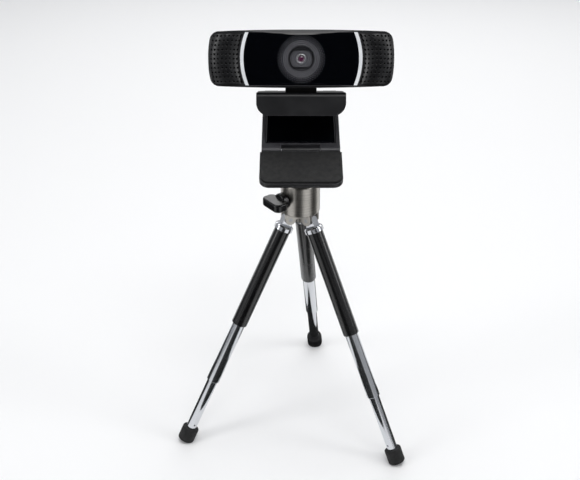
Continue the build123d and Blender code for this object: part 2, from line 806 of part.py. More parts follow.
nodes["rear_shell"] = rear_shell()
nodes["case_screws"] = case_screws()
nodes["cable_inlet"] = cable_inlet()
nodes["main_board"] = block(-board_half, board_half, board_y, board_y + board_thickness,
                            -board_half_height, board_half_height)
nodes["sensor_board"] = block(-sensor_half, sensor_half, sensor_y, sensor_y + sensor_thickness,
                              -sensor_half, sensor_half)
nodes["microphones"] = microphones()


def neck_block():
    """Block under the body that turns on the neck pin."""
    at_pin = Pos(0, neck_setback, neck_lift - body_up)
    radius = arm_thickness / 2 - neck_eye_gap
    half = neck_width / 2
    eye = side_pin(radius, -half, half)
    eye += block(-half, half, -radius, radius, 0, body_up - neck_lift - neck_root)
    neck = at_pin * eye
    neck -= outer_form
    return neck.solids().sort_by(Axis.Z)[0] - at_pin * side_pin(clip_pin_r + pin_gap, -neck_width, neck_width)


nodes["neck_block"] = neck_block()

camera_nodes = ["front_frame", "rear_shell", "faceplate", "left_grille", "right_grille", "side_arcs",
                "lens_bezel", "lens_carrier", "lens_barrel", "lens_glass", "sensor_board",
                "main_board", "microphones", "cable_inlet", "case_screws", "neck_block"]
for name in camera_nodes:
    nodes[name] = arm_place * body_place * nodes[name]

# ---- the ball leans forward in its socket, with everything that it carries ----
carried_nodes = ["tilt_ball", "tilt_stem", "screw_disc", "camera_screw", "disc_pad",
                 "flap_frame", "flap_plate", "thread_insert", "flap_hinge_pin",
                 "foot_shell", "foot_pad", "foot_pin", "clip_arm", "lip_pad", "neck_pin"] + camera_nodes
lean_place = Pos(0, 0, ball_height) * Rot(head_lean, 0, 0) * Pos(0, 0, -ball_height)
for name in carried_nodes:
    nodes[name] = lean_place * nodes[name]

# ---- the origin goes to the bottom centre of the whole object's box ----
whole = Compound([Compound(shape.solids()) for shape in nodes.values()])
box = whole.bounding_box()
origin_shift = Vector(-(box.min.X + box.max.X) / 2, -(box.min.Y + box.max.Y) / 2, -box.min.Z)

os.makedirs("parts", exist_ok=True)
for name, shape in nodes.items():
    moved = Pos(origin_shift) * Compound(shape.solids())
    solids = moved.solids()
    export_step(solids[0] if len(solids) == 1 else moved, f"parts/{name}.step")
print(len(nodes), "nodes; box", box.size)
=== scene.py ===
import bpy
import bmesh
import json
import math
from mathutils import Matrix, Vector


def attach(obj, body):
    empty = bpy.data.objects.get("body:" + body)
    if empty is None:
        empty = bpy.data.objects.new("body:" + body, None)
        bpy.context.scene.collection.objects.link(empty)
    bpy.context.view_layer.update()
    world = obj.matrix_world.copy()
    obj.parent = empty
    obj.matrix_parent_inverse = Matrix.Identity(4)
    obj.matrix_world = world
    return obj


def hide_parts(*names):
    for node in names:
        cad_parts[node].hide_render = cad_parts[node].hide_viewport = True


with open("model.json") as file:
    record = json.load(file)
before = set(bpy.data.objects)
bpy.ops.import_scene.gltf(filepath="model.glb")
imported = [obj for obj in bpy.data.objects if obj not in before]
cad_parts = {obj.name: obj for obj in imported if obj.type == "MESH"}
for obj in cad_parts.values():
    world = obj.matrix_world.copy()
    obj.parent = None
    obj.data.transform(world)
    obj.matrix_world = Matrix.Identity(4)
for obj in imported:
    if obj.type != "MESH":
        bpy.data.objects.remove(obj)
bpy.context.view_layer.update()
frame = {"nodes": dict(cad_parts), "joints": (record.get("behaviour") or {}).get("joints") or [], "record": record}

mm = 0.001
joints = {joint["name"]: joint for joint in frame["joints"]}
slotOf = {part["node"]: part["material_slot"] for part in frame["record"]["subparts"]}
scene = bpy.context.scene
print("frame loaded:", len(frame["nodes"]), "nodes")


def colour(hexText):
    # sRGB hex to the linear RGBA that shaders take
    channels = [int(hexText[i:i + 2], 16) / 255 for i in (0, 2, 4)]
    linear = [c / 12.92 if c <= 0.04045 else ((c + 0.055) / 1.055) ** 2.4 for c in channels]
    return (*linear, 1.0)


def addNode(tree, kind, settings=None, links=None):
    # settings: the node's attributes, or values of its inputs, by name or index
    # links: the output socket that feeds each input
    node = tree.nodes.new(kind)
    for key, value in (settings or {}).items():
        if isinstance(key, str) and hasattr(node, key):
            setattr(node, key, value)
        else:
            node.inputs[key].default_value = value
    for key, socket in (links or {}).items():
        tree.links.new(socket, node.inputs[key])
    return node


def meshPiece(name, mesh, body, material, replaced=()):
    piece = bpy.data.objects.new(name, mesh)
    scene.collection.objects.link(piece)
    mesh.materials.clear()
    mesh.materials.append(material)
    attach(piece, body)
    if replaced:
        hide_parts(*replaced)
    return piece


def smoothByAngle(mesh, degrees):
    for polygon in mesh.polygons:
        polygon.use_smooth = True
    mesh.set_sharp_from_angle(angle=math.radians(degrees))


def bakeNodes(name, source, tree, values):
    # runs a node tree on an object and returns the result as a plain mesh
    modifier = source.modifiers.new("nodes", "NODES")
    modifier.node_group = tree
    for item in tree.interface.items_tree:
        if item.item_type == "SOCKET" and item.in_out == "INPUT" and item.name in values:
            modifier[item.identifier] = values[item.name]
    bpy.context.view_layer.update()
    evaluated = source.evaluated_get(bpy.context.evaluated_depsgraph_get())
    mesh = bpy.data.meshes.new_from_object(evaluated)
    mesh.name = name
    source.modifiers.remove(modifier)
    return mesh


def nodeTree(name, sockets):
    tree = bpy.data.node_groups.new(name, "GeometryNodeTree")
    tree.interface.new_socket("Geometry", in_out="OUTPUT", socket_type="NodeSocketGeometry")
    for socketName, kind in sockets:
        tree.interface.new_socket(socketName, in_out="INPUT", socket_type="NodeSocket" + kind)
    return tree, tree.nodes.new("NodeGroupInput").outputs, tree.nodes.new("NodeGroupOutput")


def scratchObject(name, mesh=None):
    # a helper that Geometry Nodes read; it never stays in the scene
    helper = bpy.data.objects.new(name, mesh or bpy.data.meshes.new(name))
    scene.collection.objects.link(helper)
    return helper


# The webcam's own axes: right, up and forward along the lens.
rightAxis = Vector((1, 0, 0))
forwardAxis = Vector(joints["autofocus"]["axis"]).normalized()
upAxis = rightAxis.cross(-forwardAxis).normalized()


def span(node, axis):
    # lowest and highest place of a CAD node along one of those axes
    reach = [vertex.co.dot(axis) for vertex in frame["nodes"][node].data.vertices]
    return min(reach), max(reach)


faceFront = span("faceplate", forwardAxis)[1]
lensRight = sum(span("lens_bezel", rightAxis)) / 2
lensUp = sum(span("lens_bezel", upAxis)) / 2
cameraMatrix = Matrix((
    (rightAxis.x, -forwardAxis.x, upAxis.x, 0),
    (rightAxis.y, -forwardAxis.y, upAxis.y, 0),
    (rightAxis.z, -forwardAxis.z, upAxis.z, 0),
    (0, 0, 0, 1)))


def startMaterial(name, hexText, roughness, metallic=0.0, ior=1.5, coat=0.0, coatRoughness=0.03):
    material = bpy.data.materials.new(name)
    material.use_nodes = True
    tree = material.node_tree
    shader = tree.nodes["Principled BSDF"]
    shader.inputs["Base Color"].default_value = colour(hexText)
    shader.inputs["Roughness"].default_value = roughness
    shader.inputs["Metallic"].default_value = metallic
    shader.inputs["IOR"].default_value = ior
    shader.inputs["Coat Weight"].default_value = coat
    shader.inputs["Coat Roughness"].default_value = coatRoughness
    place = addNode(tree, "ShaderNodeTexCoord").outputs["Object"]
    return material, tree, shader, place


# Sizes of the fine patterns on the surfaces, in millimetres; one of them breaks up the painted edge highlight and
# wear.
patternMm = {"wearAndHighlightPatch": 1.8, "dust": 1.5, "sheetWave": 18, "turnedArc": 22, "platingWave": 1.6,
             "orangePeel": 0.7, "rubberGrain": 0.35, "wipingSmear": 1.2, "boardTrack": 6}
markSpread = (0.3, 0.7)      # part of a noise's range that shows as handling marks
wearAndHighlightTurn = (0.999, 0.93)     # cosines of an edge's turn, from bare to full painted edge highlight and wear


def varyColour(tree, shader, place, hexLow, hexHigh, sizeMm, detail=4.0, start=0.35, end=0.65):
    # slow change of shade over the surface
    patches = addNode(tree, "ShaderNodeTexNoise", {"Scale": 1 / (sizeMm * mm), "Detail": detail},
                      {"Vector": place})
    ramp = addNode(tree, "ShaderNodeValToRGB", {}, {0: patches.outputs["Fac"]})
    ramp.color_ramp.elements[0].position = start
    ramp.color_ramp.elements[0].color = colour(hexLow)
    ramp.color_ramp.elements[1].position = end
    ramp.color_ramp.elements[1].color = colour(hexHigh)
    tree.links.new(ramp.outputs["Color"], shader.inputs["Base Color"])


def varyRoughness(tree, shader, place, low, high, sizeMm):
    # handling marks: some places a little duller than others
    marks = addNode(tree, "ShaderNodeTexNoise", {"Scale": 1 / (sizeMm * mm), "Detail": 5.0, "Roughness": 0.6},
                    {"Vector": place})
    spread = addNode(tree, "ShaderNodeMapRange", {"To Min": low, "To Max": high, "From Min": markSpread[0],
                                                  "From Max": markSpread[1]}, {"Value": marks.outputs["Fac"]})
    tree.links.new(spread.outputs["Result"], shader.inputs["Roughness"])


def addBump(tree, shader, height, depthMm, strength, edgeMm=0.25):
    # surface relief, laid over edges that the mould or the polishing has softened
    edge = addNode(tree, "ShaderNodeBevel", {"samples": 4, "Radius": edgeMm * mm})
    bump = addNode(tree, "ShaderNodeBump", {"Strength": strength, "Distance": depthMm * mm},
                   {"Height": height, "Normal": edge.outputs["Normal"]})
    tree.links.new(bump.outputs["Normal"], shader.inputs["Normal"])


def paintEdgeWearAndHighlight(tree, shader, place, hexWearAndHighlight, widthMm, amount):
    # painted highlight along edges, with some real wear where hands rub: a paler, broken line where the surface
    # turns sharply
    softened = addNode(tree, "ShaderNodeBevel", {"samples": 4, "Radius": widthMm * mm})
    flat = addNode(tree, "ShaderNodeNewGeometry")
    turn = addNode(tree, "ShaderNodeVectorMath", {"operation": "DOT_PRODUCT"},
                   {0: softened.outputs["Normal"], 1: flat.outputs["True Normal"]})
    edge = addNode(tree, "ShaderNodeMapRange", {
        "From Min": wearAndHighlightTurn[0], "From Max": wearAndHighlightTurn[1], "To Max": amount}, {"Value": turn.outputs["Value"]})
    patchy = addNode(tree, "ShaderNodeTexNoise", {
        "Scale": 1 / (patternMm["wearAndHighlightPatch"] * mm), "Detail": 3.0}, {"Vector": place})
    where = addNode(tree, "ShaderNodeMath", {"operation": "MULTIPLY"},
                    {0: edge.outputs["Result"], 1: patchy.outputs["Fac"]})
    mix = addNode(tree, "ShaderNodeMix", {"data_type": "RGBA", 7: colour(hexWearAndHighlight)}, {0: where.outputs[0]})
    base = shader.inputs["Base Color"]
    if base.is_linked:
        tree.links.new(base.links[0].from_socket, mix.inputs[6])
    else:
        mix.inputs[6].default_value = base.default_value
    tree.links.new(mix.outputs[2], base)


def texturedPlastic(name, hexLow, hexHigh, roughness, grainMm, depthMm, edgeWearAndHighlightHex=None):
    # ABS from a spark-eroded mould: an even, fine pebble that breaks up the highlight
    material, tree, shader, place = startMaterial(name, hexLow, roughness)
    varyColour(tree, shader, place, hexLow, hexHigh, sizeMm=9.0)
    varyRoughness(tree, shader, place, low=roughness - 0.05, high=roughness + 0.07, sizeMm=6.0)
    pebble = addNode(tree, "ShaderNodeTexNoise", {"Scale": 1 / (grainMm * mm), "Detail": 3.0},
                     {"Vector": place})
    addBump(tree, shader, pebble.outputs["Fac"], depthMm=depthMm, strength=0.55)
    # painted edge highlight, partly real wear: a paler line on sharp edges
    if edgeWearAndHighlightHex:
        paintEdgeWearAndHighlight(tree, shader, place, edgeWearAndHighlightHex, widthMm=0.3, amount=0.9)
    return material


def paintedRingHighlightPlastic(name, hexLow, hexHigh, roughness, pitchMm):
    # moulded with fine rings round the lens; the light each ring catches is painted into the colour as pale bands,
    # a painted highlight over the rings' real bump
    material, tree, shader, place = startMaterial(name, hexLow, roughness)
    centre = cameraMatrix @ Vector((lensRight, 0, lensUp))
    centred = addNode(tree, "ShaderNodeVectorMath", {"operation": "SUBTRACT", 1: centre}, {0: place})
    away = addNode(tree, "ShaderNodeVectorMath", {"operation": "CROSS_PRODUCT", 1: forwardAxis},
                   {0: centred.outputs["Vector"]})
    distance = addNode(tree, "ShaderNodeVectorMath", {"operation": "LENGTH"}, {0: away.outputs["Vector"]})
    turns = addNode(tree, "ShaderNodeMath", {"operation": "MULTIPLY", 1: math.tau / (pitchMm * mm)},
                    {0: distance.outputs["Value"]})
    wave = addNode(tree, "ShaderNodeMath", {"operation": "SINE"}, {0: turns.outputs[0]})
    ramp = addNode(tree, "ShaderNodeMapRange", {"From Min": -1.0, "To Max": 0.6}, {"Value": wave.outputs[0]})
    dust = addNode(tree, "ShaderNodeTexNoise", {"Scale": 1 / (patternMm["dust"] * mm), "Detail": 4.0},
                   {"Vector": place})
    mixed = addNode(tree, "ShaderNodeMath", {"operation": "MULTIPLY_ADD", 1: 0.3},
                    {0: dust.outputs["Fac"], 2: ramp.outputs["Result"]})
    # painted highlight: each ring's crest is mixed towards the pale colour, with a little real dust
    shade = addNode(tree, "ShaderNodeMix", {"data_type": "RGBA", 6: colour(hexLow), 7: colour(hexHigh)},
                    {0: mixed.outputs[0]})
    tree.links.new(shade.outputs[2], shader.inputs["Base Color"])
    varyRoughness(tree, shader, place, low=roughness - 0.05, high=roughness + 0.07, sizeMm=2.0)
    addBump(tree, shader, wave.outputs[0], depthMm=0.02, strength=0.5)
    return material


def polishedPlastic(name, hexText, roughness, ior=1.49):
    # piano-black acrylic: deep, almost wet, with the faint waviness of a moulded sheet and wiping marks
    material, tree, shader, place = startMaterial(name, hexText, roughness, ior=ior, coat=0.25,
                                                  coatRoughness=0.02)
    varyRoughness(tree, shader, place, low=roughness, high=roughness + 0.05, sizeMm=14.0)
    wave = addNode(tree, "ShaderNodeTexNoise", {"Scale": 1 / (patternMm["sheetWave"] * mm), "Detail": 1.0},
                   {"Vector": place})
    addBump(tree, shader, wave.outputs["Fac"], depthMm=0.02, strength=0.15)
    return material


def turnedMetal(name, hexLow, hexHigh, roughness, lineMm, axis="Z"):
    # metal turned or brushed round an axis: fine rings, with light and dark bands that follow them
    material, tree, shader, place = startMaterial(name, hexLow, roughness, metallic=1.0)
    around = 1 / (patternMm["turnedArc"] * mm)
    along = 1 / (lineMm * mm)
    stretch = (along, around, around) if axis == "X" else (around, around, along)
    rings = addNode(tree, "ShaderNodeMapping", {"vector_type": "POINT", "Scale": stretch}, {"Vector": place})
    lines = addNode(tree, "ShaderNodeTexNoise", {"Scale": 1.0, "Detail": 6.0, "Roughness": 0.7},
                    {"Vector": rings.outputs["Vector"]})
    ramp = addNode(tree, "ShaderNodeValToRGB", {}, {0: lines.outputs["Fac"]})
    ramp.color_ramp.elements[0].position = markSpread[0]
    ramp.color_ramp.elements[0].color = colour(hexLow)
    ramp.color_ramp.elements[1].position = markSpread[1]
    ramp.color_ramp.elements[1].color = colour(hexHigh)
    tree.links.new(ramp.outputs["Color"], shader.inputs["Base Color"])
    dull = addNode(tree, "ShaderNodeMapRange", {"To Min": roughness - 0.06, "To Max": roughness + 0.08},
                   {"Value": lines.outputs["Fac"]})
    tree.links.new(dull.outputs["Result"], shader.inputs["Roughness"])
    addBump(tree, shader, lines.outputs["Fac"], depthMm=0.01, strength=0.35)
    return material


def polishedMetal(name, hexText, roughness, sizeMm):
    # bright plated steel: mirror-like, with a few duller fingerprints and the plating's slight waviness
    material, tree, shader, place = startMaterial(name, hexText, roughness, metallic=1.0)
    varyRoughness(tree, shader, place, low=roughness, high=roughness + 0.09, sizeMm=sizeMm)
    wave = addNode(tree, "ShaderNodeTexNoise", {"Scale": 1 / (patternMm["platingWave"] * mm), "Detail": 2.0},
                   {"Vector": place})
    addBump(tree, shader, wave.outputs["Fac"], depthMm=0.004, strength=0.2)
    return material


def glossLacquer(name, hexText, roughness):
    # stoved gloss lacquer on tube: black and bright, with orange peel
    material, tree, shader, place = startMaterial(name, hexText, roughness, coat=0.35, coatRoughness=0.06)
    varyRoughness(tree, shader, place, low=roughness, high=roughness + 0.1, sizeMm=5.0)
    peel = addNode(tree, "ShaderNodeTexNoise", {"Scale": 1 / (patternMm["orangePeel"] * mm), "Detail": 2.0},
                   {"Vector": place})
    addBump(tree, shader, peel.outputs["Fac"], depthMm=0.01, strength=0.3)
    return material


def softRubber(name, hexLow, hexHigh):
    # moulded rubber: matt, slightly dusty, with a soft coarse grain
    material, tree, shader, place = startMaterial(name, hexLow, roughness=0.72, ior=1.45)
    varyColour(tree, shader, place, hexLow, hexHigh, sizeMm=3.0, detail=6.0)
    varyRoughness(tree, shader, place, low=0.6, high=0.82, sizeMm=2.5)
    grain = addNode(tree, "ShaderNodeTexVoronoi", {"Scale": 1 / (patternMm["rubberGrain"] * mm)},
                    {"Vector": place})
    addBump(tree, shader, grain.outputs["Distance"], depthMm=0.03, strength=0.4)
    return material


def coatedGlass(name):
    # coated front element: near black, purple in the middle of the reflection and teal at the rim
    material, tree, shader, place = startMaterial(name, "0A0510", roughness=0.03, ior=1.6, coat=1.0,
                                                  coatRoughness=0.01)
    facing = addNode(tree, "ShaderNodeLayerWeight", {"Blend": 0.35})
    tint = addNode(tree, "ShaderNodeValToRGB", {}, {0: facing.outputs["Facing"]})
    tint.color_ramp.elements[0].color = colour("4A1238")
    tint.color_ramp.elements[1].color = colour("0B2E33")
    tint.color_ramp.elements.new(0.45).color = colour("1C0B2A")
    smear = addNode(tree, "ShaderNodeTexNoise", {"Scale": 1 / (patternMm["wipingSmear"] * mm)},
                    {"Vector": place})
    mix = addNode(tree, "ShaderNodeMix", {"data_type": "RGBA", "blend_type": "MULTIPLY", 0: 0.3},
                  {6: tint.outputs["Color"], 7: smear.outputs["Color"]})
    tree.links.new(mix.outputs[2], shader.inputs["Base Color"])
    varyRoughness(tree, shader, place, low=0.02, high=0.06, sizeMm=1.5)
    return material


def solderMask(name):
    # green lacquer over copper tracks: tracks stand up under the lacquer and read a little lighter
    material, tree, shader, place = startMaterial(name, "0B3B24", roughness=0.35)
    tracks = addNode(tree, "ShaderNodeTexBrick", {
        "Scale": 1 / (patternMm["boardTrack"] * mm), "Color1": colour("0A3520"), "Color2": colour("0D4429"),
        "Mortar": colour("1B5A38"), "Mortar Size": 0.05}, {"Vector": place})
    tree.links.new(tracks.outputs["Color"], shader.inputs["Base Color"])
    varyRoughness(tree, shader, place, low=0.28, high=0.42, sizeMm=4.0)
    addBump(tree, shader, tracks.outputs["Fac"], depthMm=0.03, strength=0.3)
    return material


# One finish for each material slot of the CAD model.
# the pale edge colours below paint highlights along edges, together with some wear
finishes = {
    "satin_black": texturedPlastic("satinBlackMouldedAbs", "161618", "1E1E20", roughness=0.4, grainMm=0.22,
                                   depthMm=0.01, edgeWearAndHighlightHex="6A6A6E"),
    "grille_black": texturedPlastic("perforatedGrilleAbs", "0C0C0E", "141416", roughness=0.3, grainMm=0.3,
                                    depthMm=0.006),
    "piano_black": polishedPlastic("pianoBlackAcrylic", "020306", roughness=0.05),
    "silver_trim": texturedPlastic("silverLacqueredTrim", "DCDFE2", "E9EBED", roughness=0.3, grainMm=0.3,
                                   depthMm=0.003),
    "rail_grey": texturedPlastic("greyMouldedRail", "343437", "424245", roughness=0.36, grainMm=0.22,
                                 depthMm=0.008, edgeWearAndHighlightHex="8A8A8E"),
    # the paler colour here paints the lens rings' highlights
    "lens_grey": paintedRingHighlightPlastic("greyLensPlasticPaintedRingHighlights", "1C1C1F", "74747A", roughness=0.32, pitchMm=0.87),
    "lens_metal": polishedMetal("anodisedLensBarrel", "E2E3E6", roughness=0.3, sizeMm=1.5),
    "coated_glass": coatedGlass("magentaCoatedGlass"),
    "satin_nickel": turnedMetal("turnedSatinNickel", "8E8B86", "C9C5BE", roughness=0.3, lineMm=0.25),
    "chrome": polishedMetal("brightChromePlate", "D6D8DC", roughness=0.07, sizeMm=7.0),
    "black_lacquer": glossLacquer("blackStovedLacquer", "050506", roughness=0.2),
    "knob_black": texturedPlastic("blackMouldedKnob", "08080A", "101012", roughness=0.24, grainMm=0.3,
                                  depthMm=0.006, edgeWearAndHighlightHex="55555A"),
    "rubber": softRubber("blackMouldedRubber", "0E0E0F", "191919"),
    "white_nylon": texturedPlastic("whiteNylon", "D8D6CC", "E6E4DB", roughness=0.45, grainMm=0.4,
                                   depthMm=0.01),
    "steel": turnedMetal("zincPlatedSteel", "8A8C90", "B9BBBF", roughness=0.3, lineMm=0.2, axis="X"),
    "brass": turnedMetal("turnedBrass", "9C7A36", "C9A456", roughness=0.25, lineMm=0.25),
    "circuit_board": solderMask("greenSolderMask"),
}
dotInk = texturedPlastic("paleGreyPrintedInk", "5C5C62", "77777D", roughness=0.5, grainMm=0.2, depthMm=0.002)
for node, cadObject in frame["nodes"].items():
    cadObject.data.materials.clear()
    cadObject.data.materials.append(finishes[slotOf[node]])
print("materials:", len(finishes))


# Places and sizes in metres, the lens and sensor in millimetres, powers in watts.
view = {"distance": 0.50, "height": 0.405, "lookAt": 0.116, "focal": 62.0, "sensor": 36.0, "clipStart": 0.01}
lightAim = Vector((0, 0, 0.13))
lights = [
    {"name": "topBox", "place": (0.0, 0.05, 1.0), "size": (0.8, 0.7), "power": 3.8},
    {"name": "leftBox", "place": (-1.5, -0.65, 1.0), "size": (0.45, 1.5), "power": 7.5},
    {"name": "rightBox", "place": (1.6, -0.4, 1.0), "size": (0.45, 1.5), "power": 7.5},
    {"name": "backBox", "place": (0.1, 0.9, 0.6), "size": (1.0, 0.4), "power": 2.5},
    {"name": "frontHigh", "place": (0.15, -0.45, 0.95), "size": (0.5, 0.2), "power": 1.6},
]
sky = {"shade": "F2F4F8", "strength": 0.42}
paper = {"half": 8.0, "shade": "F4F4F4", "roughness": 0.9, "marks": (0.85, 0.95), "markMm": 200.0}
# Black cards laid round the foot of the object. Only reflections see them: they give the bright
# metal its dark bands, as cards beside a small product do.
cards = {"count": 4, "width": 46.0, "turn": -8.0, "inner": 0.02, "outer": 2.6, "height": 0.0015, "steps": 8,
         "tallHalf": 0.9, "tallLow": 0.30, "tallHigh": 1.5, "tallDistance": 1.4,
         "shade": "050505", "roughness": 0.9, "marks": (0.85, 0.95), "markMm": 50.0}


def aimAt(thing, target):
    thing.rotation_mode = "QUATERNION"
    thing.rotation_quaternion = (target - thing.location).to_track_quat("-Z", "Y")


def makeCamera():
    cameraData = bpy.data.cameras.new("shotCamera")
    cameraData.lens = view["focal"]
    cameraData.sensor_width = view["sensor"]
    cameraData.clip_start = view["clipStart"]
    shot = bpy.data.objects.new("shotCamera", cameraData)
    scene.collection.objects.link(shot)
    shot.location = (0, -view["distance"], view["height"])
    aimAt(shot, Vector((0, 0, view["lookAt"])))
    scene.camera = shot


def makeLight(light):
    lightData = bpy.data.lights.new(light["name"], "AREA")
    lightData.shape = "RECTANGLE"
    lightData.size, lightData.size_y = light["size"]
    lightData.energy = light["power"]
    lamp = bpy.data.objects.new(light["name"], lightData)
    scene.collection.objects.link(lamp)
    lamp.location = light["place"]
    aimAt(lamp, lightAim)


def makeFloor():
    mesh = bpy.data.meshes.new("floor")
    half = paper["half"]
    mesh.from_pydata([(-half, -half, 0), (half, -half, 0), (half, half, 0), (-half, half, 0)], [],
                     [(0, 1, 2, 3)])
    floor = bpy.data.objects.new("floor", mesh)
    scene.collection.objects.link(floor)
    # matt paper: no gloss at all, so it shows soft shadows only
    material, tree, shader, place = startMaterial("paleStudioPaper", paper["shade"], paper["roughness"])
    shader.inputs["Specular IOR Level"].default_value = 0.0
    varyRoughness(tree, shader, place, *paper["marks"], paper["markMm"])
    mesh.materials.append(material)


def makeCards():
    verts, faces = [], []
    steps = cards["steps"]
    for index in range(cards["count"]):
        middle = 360 * index / cards["count"] - 90 + cards["turn"]
        for step in range(steps + 1):
            angle = math.radians(middle + cards["width"] * (step / steps - 0.5))
            for radius in (cards["inner"], cards["outer"]):
                verts.append((math.cos(angle) * radius, math.sin(angle) * radius, cards["height"]))
        first = index * 2 * (steps + 1)
        for step in range(steps):
            at = first + 2 * step
            faces.append((at, at + 1, at + 3, at + 2))
    first = len(verts)       # and a tall one behind the camera
    for side, height in ((-1, "tallLow"), (1, "tallLow"), (1, "tallHigh"), (-1, "tallHigh")):
        verts.append((side * cards["tallHalf"], -cards["tallDistance"], cards[height]))
    faces.append((first + 3, first + 2, first + 1, first))
    mesh = bpy.data.meshes.new("blackCards")
    mesh.from_pydata(verts, [], faces)
    card = bpy.data.objects.new("blackCards", mesh)
    scene.collection.objects.link(card)
    material, tree, shader, place = startMaterial("blackCardVelvet", cards["shade"], cards["roughness"])
    varyRoughness(tree, shader, place, *cards["marks"], cards["markMm"])
    mesh.materials.append(material)
    card.visible_camera = False
    card.visible_diffuse = False
    card.visible_shadow = False
    card.visible_transmission = False


makeCamera()
for light in lights:
    makeLight(light)
makeFloor()
makeCards()
world = bpy.data.worlds.new("studio")
scene.world = world
world.use_nodes = True
world.node_tree.nodes["Background"].inputs["Color"].default_value = colour(sky["shade"])
world.node_tree.nodes["Background"].inputs["Strength"].default_value = sky["strength"]
scene.view_settings.view_transform = "Standard"
print("camera, lights and floor made")


grille = {
    "columns": 8, "rows": 11,
    "wrap": 46.0,            # degrees that the panel turns away at its side edges
    "holeRadius": 0.5, "holeDepth": 0.9, "countersink": 0.1, "holeSides": 16,
    "edgeSink": 1.3,         # how far the side edges lie behind the case's front
    "frontDrop": 0.6,        # the case's front is this much lower here than the faceplate's
    "endBulge": 1.7, "arcBow": 2.5, "topFall": 0.8, "smoothAngle": 35,
}


def perforatedTile(pitchX, pitchY):
    # one square of the panel, a unit wide: flat rim, countersink, wall and floor of a hole
    sides = grille["holeSides"]
    made = bmesh.new()
    rims = [(None, 0.0), (grille["holeRadius"] + grille["countersink"], 0.0),
            (grille["holeRadius"], -grille["countersink"]), (grille["holeRadius"], -grille["holeDepth"])]
    loops = []
    for radius, depth in rims:
        loop = []
        for index in range(sides):
            angle = math.tau * index / sides + math.pi / 4
            if radius is None:             # the square's own edge
                reach = 0.5 / max(abs(math.cos(angle)), abs(math.sin(angle)))
                x, y = math.cos(angle) * reach, math.sin(angle) * reach
            else:
                x, y = math.cos(angle) * radius / pitchX, math.sin(angle) * radius / pitchY
            loop.append(made.verts.new((x, y, depth)))
        loops.append(loop)
    for outer, inner in zip(loops, loops[1:]):
        for index in range(sides):
            after = (index + 1) % sides
            made.faces.new((outer[index], outer[after], inner[after], inner[index]))
    made.faces.new(loops[-1])
    mesh = bpy.data.meshes.new("perforatedTile")
    made.to_mesh(mesh)
    made.free()
    return mesh


